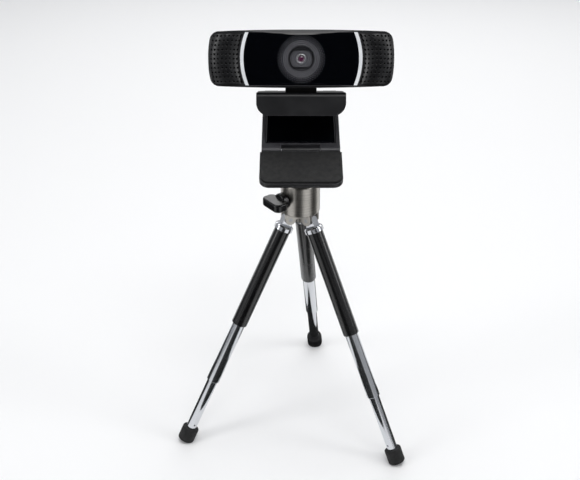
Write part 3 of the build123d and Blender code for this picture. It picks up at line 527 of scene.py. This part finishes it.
def perforatedPanelTree():
    # tiles on a grid, welded, then wrapped onto the bulged front of the case
    tree, given, out = nodeTree("perforatedPanel", [
        ("Tile", "Object"), ("Columns", "Int"), ("Rows", "Int"), ("Side", "Float"), ("Middle X", "Float"),
        ("Wrap Radius", "Float"), ("Wrap Angle", "Float"), ("Half Height", "Float"), ("Bow", "Float"),
        ("Bow Change", "Float"), ("Top Fall", "Float"), ("Edge Depth", "Float")])
    place = addNode(tree, "GeometryNodeInputPosition")
    parts = addNode(tree, "ShaderNodeSeparateXYZ", {}, {"Vector": place.outputs["Position"]})
    known = {"x": parts.outputs["X"], "y": parts.outputs["Y"], "z": parts.outputs["Z"]}
    # each row: result, operation, terms; a term is a number, an earlier result or one of the inputs
    for result, operation, *terms in (
            ("gridWidth", "SUBTRACT", "Columns", 1.0),
            ("gridHeight", "SUBTRACT", "Rows", 1.0),
            ("twiceX", "MULTIPLY", "x", 2.0),
            ("across", "DIVIDE", "twiceX", "Columns"),         # -1 to 1 from the inner to the outer edge
            ("twiceY", "MULTIPLY", "y", 2.0),
            ("upward", "DIVIDE", "twiceY", "Rows"),            # -1 to 1 from the bottom to the top
            ("angle", "MULTIPLY", "across", "Wrap Angle"),
            ("radius", "ADD", "Wrap Radius", "z"),
            ("sine", "SINE", "angle"),
            ("cosine", "COSINE", "angle"),
            ("upSquare", "MULTIPLY", "upward", "upward"),
            ("upFourth", "MULTIPLY", "upSquare", "upSquare"),
            ("bowGrowth", "MULTIPLY", "across", "Bow Change"),
            ("bowHere", "ADD", "Bow", "bowGrowth"),
            ("bowed", "MULTIPLY", "bowHere", "upSquare"),
            ("reach", "MULTIPLY", "sine", "radius"),
            ("upright", "ADD", "Middle X", "reach"),
            ("sideways", "SUBTRACT", "upright", "bowed"),
            ("edgeCosine", "COSINE", "Wrap Angle"),
            ("edgeHeight", "MULTIPLY", "Wrap Radius", "edgeCosine"),
            ("arch", "MULTIPLY", "cosine", "radius"),
            ("bulge", "SUBTRACT", "arch", "edgeHeight"),
            ("fall", "MULTIPLY", "Top Fall", "upFourth"),
            ("rounded", "SUBTRACT", "bulge", "fall"),
            ("outward", "SUBTRACT", "rounded", "Edge Depth"),
            ("newX", "MULTIPLY", "sideways", "Side"),
            ("newY", "MULTIPLY", "outward", -1.0),
            ("newZ", "MULTIPLY", "upward", "Half Height")):
        numbers = {index: term for index, term in enumerate(terms) if isinstance(term, float)}
        sockets = {index: known[term] if term in known else given[term]
                   for index, term in enumerate(terms) if isinstance(term, str)}
        made = addNode(tree, "ShaderNodeMath", {"operation": operation, **numbers}, sockets)
        known[result] = made.outputs[0]
    grid = addNode(tree, "GeometryNodeMeshGrid", {}, {
        "Size X": known["gridWidth"], "Size Y": known["gridHeight"],
        "Vertices X": given["Columns"], "Vertices Y": given["Rows"]})
    tile = addNode(tree, "GeometryNodeObjectInfo", {}, {"Object": given["Tile"]})
    laid = addNode(tree, "GeometryNodeInstanceOnPoints", {}, {
        "Points": grid.outputs["Mesh"], "Instance": tile.outputs["Geometry"]})
    real = addNode(tree, "GeometryNodeRealizeInstances", {}, {"Geometry": laid.outputs["Instances"]})
    weld = addNode(tree, "GeometryNodeMergeByDistance", {"Distance": 0.002},
                   {"Geometry": real.outputs["Geometry"]})
    moved = addNode(tree, "ShaderNodeCombineXYZ", {}, {
        "X": known["newX"], "Y": known["newY"], "Z": known["newZ"]})
    bent = addNode(tree, "GeometryNodeSetPosition", {}, {
        "Geometry": weld.outputs["Geometry"], "Position": moved.outputs["Vector"]})
    finish = addNode(tree, "GeometryNodeSetMaterial", {"Material": finishes["grille_black"]},
                     {"Geometry": bent.outputs["Geometry"]})
    tree.links.new(finish.outputs["Geometry"], out.inputs[0])
    return tree


def makeGrilles():
    tree = perforatedPanelTree()
    for side, node in ((-1.0, "left_grille"), (1.0, "right_grille")):
        low, high = span(node, rightAxis)
        inner, outer = (min(abs(low), abs(high)) / mm, max(abs(low), abs(high)) / mm)
        inner += grille["arcBow"]          # the box starts at the bowed edge's ends
        bottom, top = span(node, upAxis)
        wrap = math.radians(grille["wrap"])
        halfWidth = (outer - inner) / 2
        wrapRadius = halfWidth / math.sin(wrap)
        pitchX = 2 * wrapRadius * wrap / grille["columns"]
        pitchY = (top - bottom) / mm / grille["rows"]
        tile = scratchObject("tile", perforatedTile(pitchX, pitchY))
        holder = scratchObject(node + "_holder")
        mesh = bakeNodes(node + "_perforated", holder, tree, {
            "Tile": tile, "Columns": grille["columns"], "Rows": grille["rows"], "Side": side,
            "Middle X": (inner + outer) / 2, "Wrap Radius": wrapRadius, "Wrap Angle": wrap,
            "Half Height": (top - bottom) / mm / 2, "Bow": (grille["arcBow"] + grille["endBulge"]) / 2,
            "Bow Change": (grille["endBulge"] - grille["arcBow"]) / 2, "Top Fall": grille["topFall"],
            "Edge Depth": grille["edgeSink"]})
        bpy.data.objects.remove(tile)
        bpy.data.objects.remove(holder)
        front = faceFront - grille["frontDrop"] * mm
        mesh.transform(Matrix.Scale(mm, 4))
        mesh.transform(Matrix.Translation((0, -front, (bottom + top) / 2)))
        mesh.transform(cameraMatrix)
        if side > 0:
            mesh.flip_normals()
        smoothByAngle(mesh, grille["smoothAngle"])
        meshPiece(node + "_perforated", mesh, "camera", finishes["grille_black"], (node,))


makeGrilles()
print("grilles made")


# The real dots are half as far apart; they are drawn this coarse so that they show.
dotRing = {"dots": 50, "rows": 3, "innerRadius": 9.85, "rowStep": 0.92, "dotSize": 0.5, "shrink": 0.16,
           "faintest": 0.85, "lift": 0.03, "seed": 3}
faceCurve = {"sweep": 3.0, "half": 47.0}      # the faceplate curves back this far at this half width


def dotRingTree():
    # a grid of points rolled into rings, with a small square on each, smaller row by row
    tree, given, out = nodeTree("dotRing", [
        ("Dots", "Int"), ("Rows", "Int"), ("Inner Radius", "Float"), ("Row Step", "Float"),
        ("Dot Size", "Float"), ("Shrink", "Float"), ("Faintest", "Float"), ("Seed", "Int")])
    square = addNode(tree, "GeometryNodeMeshGrid", {"Vertices X": 2, "Vertices Y": 2},
                     {"Size X": given["Dot Size"], "Size Y": given["Dot Size"]})
    lastRow = addNode(tree, "ShaderNodeMath", {"operation": "SUBTRACT", 1: 1.0}, {0: given["Rows"]})
    grid = addNode(tree, "GeometryNodeMeshGrid", {"Size X": 1.0}, {
        "Size Y": lastRow.outputs[0], "Vertices X": given["Dots"], "Vertices Y": given["Rows"]})
    place = addNode(tree, "GeometryNodeInputPosition")
    parts = addNode(tree, "ShaderNodeSeparateXYZ", {}, {"Vector": place.outputs["Position"]})
    halfRows = addNode(tree, "ShaderNodeMath", {"operation": "MULTIPLY", 1: 0.5}, {0: lastRow.outputs[0]})
    row = addNode(tree, "ShaderNodeMath", {"operation": "ADD"},
                  {0: parts.outputs["Y"], 1: halfRows.outputs[0]})
    odd = addNode(tree, "ShaderNodeMath", {"operation": "MODULO", 1: 2.0}, {0: row.outputs[0]})
    spacing = addNode(tree, "ShaderNodeMath", {"operation": "DIVIDE", 0: math.tau}, {1: given["Dots"]})
    dotsLess = addNode(tree, "ShaderNodeMath", {"operation": "SUBTRACT", 1: 1.0}, {0: given["Dots"]})
    index = addNode(tree, "ShaderNodeMath", {"operation": "MULTIPLY"},
                    {0: parts.outputs["X"], 1: dotsLess.outputs[0]})
    stagger = addNode(tree, "ShaderNodeMath", {"operation": "MULTIPLY_ADD", 1: 0.5},
                      {0: odd.outputs[0], 2: index.outputs[0]})
    angle = addNode(tree, "ShaderNodeMath", {"operation": "MULTIPLY"},
                    {0: stagger.outputs[0], 1: spacing.outputs[0]})
    radius = addNode(tree, "ShaderNodeMath", {"operation": "MULTIPLY_ADD"},
                     {0: row.outputs[0], 1: given["Row Step"], 2: given["Inner Radius"]})
    turned = addNode(tree, "ShaderNodeCombineXYZ", {}, {"Z": angle.outputs[0]})
    arm = addNode(tree, "ShaderNodeCombineXYZ", {}, {"X": radius.outputs[0]})
    around = addNode(tree, "ShaderNodeVectorRotate", {"rotation_type": "Z_AXIS"},
                     {"Vector": arm.outputs[0], "Angle": angle.outputs[0]})
    smaller = addNode(tree, "ShaderNodeMath", {"operation": "MULTIPLY"},
                      {0: row.outputs[0], 1: given["Shrink"]})
    size = addNode(tree, "ShaderNodeMath", {"operation": "SUBTRACT", 0: 1.0}, {1: smaller.outputs[0]})
    jitter = addNode(tree, "FunctionNodeRandomValue", {"data_type": "FLOAT", 3: 1.0},
                     {2: given["Faintest"], "Seed": given["Seed"]})
    uneven = addNode(tree, "ShaderNodeMath", {"operation": "MULTIPLY"},
                     {0: size.outputs[0], 1: jitter.outputs[1]})
    # the turn and size of each dot are taken from the flat grid, before it is rolled up
    keepRotation = addNode(tree, "GeometryNodeCaptureAttribute", {"domain": "POINT"},
                           {"Geometry": grid.outputs["Mesh"]})
    keepRotation.capture_items.new("VECTOR", "Turn")
    keepRotation.capture_items.new("FLOAT", "Size")
    tree.links.new(turned.outputs[0], keepRotation.inputs["Turn"])
    tree.links.new(uneven.outputs[0], keepRotation.inputs["Size"])
    rolled = addNode(tree, "GeometryNodeSetPosition", {}, {
        "Geometry": keepRotation.outputs["Geometry"], "Position": around.outputs[0]})
    dots = addNode(tree, "GeometryNodeInstanceOnPoints", {}, {
        "Points": rolled.outputs["Geometry"], "Instance": square.outputs["Mesh"],
        "Rotation": keepRotation.outputs["Turn"], "Scale": keepRotation.outputs["Size"]})
    real = addNode(tree, "GeometryNodeRealizeInstances", {}, {"Geometry": dots.outputs["Instances"]})
    finish = addNode(tree, "GeometryNodeSetMaterial", {"Material": dotInk},
                     {"Geometry": real.outputs["Geometry"]})
    tree.links.new(finish.outputs["Geometry"], out.inputs[0])
    return tree


def facePlane(mesh, lift):
    # takes a mesh drawn in millimetres round the lens, facing +Z, to just in front of the faceplate
    mesh.transform(Matrix.Scale(mm, 4))
    mesh.transform(Matrix.Rotation(math.radians(90), 4, "X"))
    mesh.transform(Matrix.Translation((lensRight, 0, lensUp)))
    sweep = faceCurve["sweep"] * mm / (faceCurve["half"] * mm) ** 2
    for vertex in mesh.vertices:
        vertex.co.y -= faceFront + lift * mm - sweep * (vertex.co.x - lensRight) ** 2
    mesh.transform(cameraMatrix)


def makeDotRing():
    holder = scratchObject("dotRing_holder")
    mesh = bakeNodes("lens_dot_ring", holder, dotRingTree(), {
        "Dots": dotRing["dots"], "Rows": dotRing["rows"], "Inner Radius": dotRing["innerRadius"],
        "Row Step": dotRing["rowStep"], "Dot Size": dotRing["dotSize"], "Shrink": dotRing["shrink"],
        "Faintest": dotRing["faintest"], "Seed": dotRing["seed"]})
    bpy.data.objects.remove(holder)
    facePlane(mesh, dotRing["lift"])
    meshPiece("lens_dot_ring", mesh, "camera", dotInk)


makeDotRing()
print("dot ring made")


# The screw disc's axis and place, for its knurled rim, ribbed pad and threaded stud.
discAxis = Vector(joints["screw_disc_turn"]["axis"]).normalized()
discBase = Vector(joints["screw_disc_turn"]["pos_m"])
discTurn = Vector((0, 0, 1)).rotation_difference(discAxis).to_matrix().to_4x4()
discMatrix = Matrix.Translation(discBase) @ discTurn @ Matrix.Scale(mm, 4)


def alongDisc(node):
    # how far a CAD node reaches along the disc's axis, in millimetres from its underside
    reach = [(vertex.co - discBase).dot(discAxis) / mm for vertex in frame["nodes"][node].data.vertices]
    return min(reach), max(reach)


def roundDisc(node):
    # a CAD node's radius about that axis
    return max((vertex.co - discBase).cross(discAxis).length / mm
               for vertex in frame["nodes"][node].data.vertices)


# In millimetres; a stud crest above 1 leaves the thread a narrow flat on top.
knurl = {"ridges": 84, "width": 0.5, "proud": 0.28, "sink": 0.25, "margin": 0.45}
padRibs = {"count": 15, "width": 0.5, "height": 0.35, "hubGap": 0.5, "rootSink": 0.05, "endGap": 0.2,
           "crownNarrowing": 0.5, "span": 1.9, "sides": 64, "smoothAngle": 35}
stud = {"pitch": 1.27, "depth": 0.5, "crest": 1.15, "around": 40, "stepsPerTurn": 8, "taper": 0.7,
        "smoothAngle": 40}


def knurlTree():
    # one ridge on each point of a circle, turned to face outwards
    tree, given, out = nodeTree("knurledRim", [("Ridges", "Int"), ("Radius", "Float"), ("Ridge", "Object")])
    circle = addNode(tree, "GeometryNodeMeshCircle", {},
                     {"Vertices": given["Ridges"], "Radius": given["Radius"]})
    place = addNode(tree, "GeometryNodeInputPosition")
    aim = addNode(tree, "FunctionNodeAlignEulerToVector", {"axis": "X", "pivot_axis": "Z"},
                  {"Vector": place.outputs["Position"]})
    ridge = addNode(tree, "GeometryNodeObjectInfo", {}, {"Object": given["Ridge"]})
    laid = addNode(tree, "GeometryNodeInstanceOnPoints", {}, {
        "Points": circle.outputs["Mesh"], "Instance": ridge.outputs["Geometry"],
        "Rotation": aim.outputs["Rotation"]})
    real = addNode(tree, "GeometryNodeRealizeInstances", {}, {"Geometry": laid.outputs["Instances"]})
    finish = addNode(tree, "GeometryNodeSetMaterial", {"Material": finishes["chrome"]},
                     {"Geometry": real.outputs["Geometry"]})
    tree.links.new(finish.outputs["Geometry"], out.inputs[0])
    return tree


def makeKnurl():
    low, high = alongDisc("screw_disc")
    low = max(low, 0.0)
    radius = roundDisc("screw_disc")
    half = knurl["width"] / 2
    bottom, top = low + knurl["margin"], high - knurl["margin"]
    crest, root = knurl["proud"], -knurl["sink"]
    mesh = bpy.data.meshes.new("ridge")
    bevel = knurl["proud"]
    mesh.from_pydata([(root, -half, bottom - bevel), (root, half, bottom - bevel), (crest, 0, bottom + bevel),
                      (root, -half, top + bevel), (root, half, top + bevel), (crest, 0, top - bevel)], [],
                     [(0, 1, 2), (5, 4, 3), (1, 4, 5, 2), (2, 5, 3, 0), (0, 3, 4, 1)])
    ridge = scratchObject("ridge", mesh)
    holder = scratchObject("knurl_holder")
    rim = bakeNodes("disc_knurl", holder, knurlTree(), {
        "Ridges": knurl["ridges"], "Radius": radius, "Ridge": ridge})
    bpy.data.objects.remove(ridge)
    bpy.data.objects.remove(holder)
    rim.transform(discMatrix)
    meshPiece("disc_knurl", rim, "screw_disc", finishes["chrome"])


def ribTree():
    # bars across a ring-shaped pad, each cut to its chord on both sides of the hub
    tree, given, out = nodeTree("ribbedPad", [
        ("Ribs", "Int"), ("Span", "Float"), ("Radius", "Float"), ("Hub Radius", "Float"), ("Side", "Float"),
        ("Rib", "Object")])
    place = addNode(tree, "GeometryNodeInputPosition")
    parts = addNode(tree, "ShaderNodeSeparateXYZ", {}, {"Vector": place.outputs["Position"]})
    known = {"x": parts.outputs["X"]}
    # rows as in the perforated panel
    for result, operation, *terms in (
            ("width", "MULTIPLY", "Radius", "Span"),
            ("square", "MULTIPLY", "x", "x"),
            ("outerSquare", "MULTIPLY", "Radius", "Radius"),
            ("outerRest", "SUBTRACT", "outerSquare", "square"),
            ("outerSafe", "MAXIMUM", "outerRest", 0.0),
            ("outer", "SQRT", "outerSafe"),
            ("hubSquare", "MULTIPLY", "Hub Radius", "Hub Radius"),
            ("hubRest", "SUBTRACT", "hubSquare", "square"),
            ("hubSafe", "MAXIMUM", "hubRest", 0.0),
            ("inner", "SQRT", "hubSafe"),
            ("both", "ADD", "outer", "inner"),
            ("halfway", "MULTIPLY", "both", 0.5),
            ("middle", "MULTIPLY", "halfway", "Side"),
            ("length", "SUBTRACT", "outer", "inner")):
        numbers = {index: term for index, term in enumerate(terms) if isinstance(term, float)}
        sockets = {index: known[term] if term in known else given[term]
                   for index, term in enumerate(terms) if isinstance(term, str)}
        made = addNode(tree, "ShaderNodeMath", {"operation": operation, **numbers}, sockets)
        known[result] = made.outputs[0]
    grid = addNode(tree, "GeometryNodeMeshGrid", {"Size Y": 0.0, "Vertices Y": 2},
                   {"Size X": known["width"], "Vertices X": given["Ribs"]})
    merged = addNode(tree, "GeometryNodeMergeByDistance", {"Distance": 0.001},
                     {"Geometry": grid.outputs["Mesh"]})
    size = addNode(tree, "ShaderNodeCombineXYZ", {"X": 1.0, "Z": 1.0}, {"Y": known["length"]})
    keep = addNode(tree, "GeometryNodeCaptureAttribute", {"domain": "POINT"},
                   {"Geometry": merged.outputs["Geometry"]})
    keep.capture_items.new("VECTOR", "Size")
    tree.links.new(size.outputs[0], keep.inputs["Size"])
    moved = addNode(tree, "ShaderNodeCombineXYZ", {}, {"X": known["x"], "Y": known["middle"]})
    laidOut = addNode(tree, "GeometryNodeSetPosition", {}, {
        "Geometry": keep.outputs["Geometry"], "Position": moved.outputs[0]})
    rib = addNode(tree, "GeometryNodeObjectInfo", {}, {"Object": given["Rib"]})
    laid = addNode(tree, "GeometryNodeInstanceOnPoints", {}, {
        "Points": laidOut.outputs["Geometry"], "Instance": rib.outputs["Geometry"],
        "Scale": keep.outputs["Size"]})
    real = addNode(tree, "GeometryNodeRealizeInstances", {}, {"Geometry": laid.outputs["Instances"]})
    finish = addNode(tree, "GeometryNodeSetMaterial", {"Material": finishes["rubber"]},
                     {"Geometry": real.outputs["Geometry"]})
    tree.links.new(finish.outputs["Geometry"], out.inputs[0])
    return tree


def makePad():
    # a thinner ring with ribs up to the height of the CAD pad
    low, high = alongDisc("disc_pad")
    radius = roundDisc("disc_pad")
    hub = roundDisc("camera_screw") + padRibs["hubGap"]
    floorHeight = high - padRibs["height"]
    half = padRibs["width"] / 2
    joined = bmesh.new()
    sides = padRibs["sides"]
    rings = [(hub, low), (radius, low), (radius, floorHeight), (hub, floorHeight)]
    loops = [[joined.verts.new((math.cos(math.tau * i / sides) * r, math.sin(math.tau * i / sides) * r, z))
              for i in range(sides)] for r, z in rings]
    for index in range(len(loops)):
        here, after = loops[index], loops[(index + 1) % len(loops)]
        for i in range(sides):
            j = (i + 1) % sides
            joined.faces.new((here[i], here[j], after[j], after[i]))
    bmesh.ops.recalc_face_normals(joined, faces=joined.faces)
    bar = bpy.data.meshes.new("rib")
    crown = half - half * padRibs["crownNarrowing"]
    root = floorHeight - padRibs["rootSink"]
    outline = [(-half, root), (half, root), (crown, high), (-crown, high)]
    bar.from_pydata([(x, y, z) for y in (-0.5, 0.5) for x, z in outline], [],
                    [(0, 1, 2, 3), (7, 6, 5, 4), (1, 5, 6, 2), (2, 6, 7, 3), (3, 7, 4, 0), (0, 4, 5, 1)])
    rib = scratchObject("rib", bar)
    tree = ribTree()
    for side in (-1.0, 1.0):
        holder = scratchObject("pad_holder")
        ribs = bakeNodes("ribs", holder, tree, {
            "Ribs": padRibs["count"], "Span": padRibs["span"], "Radius": radius - padRibs["endGap"],
            "Hub Radius": hub + padRibs["endGap"], "Side": side, "Rib": rib})
        joined.from_mesh(ribs)
        bpy.data.objects.remove(holder)
    bpy.data.objects.remove(rib)
    mesh = bpy.data.meshes.new("disc_pad_ribbed")
    joined.to_mesh(mesh)
    joined.free()
    mesh.transform(discMatrix)
    smoothByAngle(mesh, padRibs["smoothAngle"])
    meshPiece("disc_pad_ribbed", mesh, "screw_disc", finishes["rubber"], ("disc_pad",))


def makeStud():
    # quarter inch stud with its thread, tapered at the tip
    low, high = alongDisc("camera_screw")
    radius = roundDisc("camera_screw")
    steps = int((high - low) / stud["pitch"] * stud["stepsPerTurn"])
    around = stud["around"]
    made = bmesh.new()
    loops = []
    for step in range(steps + 1):
        z = low + (high - low) * step / steps
        loop = []
        for i in range(around):
            turn = (z / stud["pitch"] - i / around) % 1.0
            groove = stud["depth"] * (1 - min(1.0, abs(turn * 2 - 1) * stud["crest"]))
            r = radius - groove
            if high - z < stud["taper"]:
                r = min(r, radius - stud["taper"] + (high - z))
            angle = math.tau * i / around
            loop.append(made.verts.new((math.cos(angle) * r, math.sin(angle) * r, z)))
        loops.append(loop)
    for here, after in zip(loops, loops[1:]):
        for i in range(around):
            j = (i + 1) % around
            made.faces.new((here[i], here[j], after[j], after[i]))
    made.faces.new(loops[-1])
    made.faces.new(list(reversed(loops[0])))
    mesh = bpy.data.meshes.new("camera_screw_threaded")
    made.to_mesh(mesh)
    made.free()
    mesh.transform(discMatrix)
    smoothByAngle(mesh, stud["smoothAngle"])
    meshPiece("camera_screw_threaded", mesh, "screw_disc", finishes["steel"], ("camera_screw",))


makeKnurl()
makePad()
makeStud()
print("screw disc made")


backScrew = {"headRadius": 1.45, "dome": 0.28, "headHeight": 1.0, "sides": 32, "smoothAngle": 35,
             "recessArm": 0.85, "recessHalf": 0.2, "recessDepth": 0.55, "recessTaper": 0.8,
             "leftTurn": 20, "rightTurn": 65}


def crossHead():
    # domed head facing +Z with its crown at zero, and a cross cut into it
    made = bmesh.new()
    sides, radius, arm, half = (backScrew[key] for key in ("sides", "headRadius", "recessArm", "recessHalf"))

    def crown(x, y):
        return -backScrew["dome"] * (x * x + y * y) / radius ** 2

    rim = [made.verts.new((math.cos(math.tau * i / sides) * radius, math.sin(math.tau * i / sides) * radius,
                           -backScrew["dome"])) for i in range(sides)]
    corners = []
    for quarter in range(4):
        for x, y in ((arm, -half), (arm, half), (half, half)):
            turn = math.pi / 2 * quarter
            corners.append((x * math.cos(turn) - y * math.sin(turn), x * math.sin(turn) + y * math.cos(turn)))
    lips = [made.verts.new((x, y, crown(x, y))) for x, y in corners]
    taper = backScrew["recessTaper"]
    floors = [made.verts.new((x * taper, y * taper, -backScrew["recessDepth"])) for x, y in corners]
    skirt = [made.verts.new((vertex.co.x, vertex.co.y, -backScrew["headHeight"])) for vertex in rim]
    loops = []
    for loop in (rim, lips):
        loops += [made.edges.new((loop[i], loop[(i + 1) % len(loop)])) for i in range(len(loop))]
    bmesh.ops.triangle_fill(made, use_beauty=True, edges=loops, normal=(0, 0, 1))
    for upper, lower in ((lips, floors), (rim, skirt)):
        for i in range(len(upper)):
            j = (i + 1) % len(upper)
            made.faces.new((upper[i], upper[j], lower[j], lower[i]))
    made.faces.new(floors)
    made.faces.new(skirt)
    bmesh.ops.recalc_face_normals(made, faces=made.faces)
    return made


def makeBackScrews():
    right = span("case_screws", rightAxis)[1] - backScrew["headRadius"] * mm - lensRight
    up = sum(span("case_screws", upAxis)) / 2
    back = -span("case_screws", forwardAxis)[0]
    joined = bmesh.new()
    for side, turn in ((-1, backScrew["leftTurn"]), (1, backScrew["rightTurn"])):
        head = crossHead()
        place = Matrix.Translation((lensRight + side * right, back, up))
        place = place @ Matrix.Rotation(math.radians(-90), 4, "X")       # the crown faces backwards
        turned = Matrix.Rotation(math.radians(turn), 4, "Z") @ Matrix.Scale(mm, 4)
        head.transform(cameraMatrix @ place @ turned)
        scratch = bpy.data.meshes.new("head")
        head.to_mesh(scratch)
        head.free()
        joined.from_mesh(scratch)
    mesh = bpy.data.meshes.new("case_screws_cross")
    joined.to_mesh(mesh)
    joined.free()
    smoothByAngle(mesh, backScrew["smoothAngle"])
    meshPiece("case_screws_cross", mesh, "camera", finishes["steel"], ("case_screws",))


makeBackScrews()
print("back screws made")
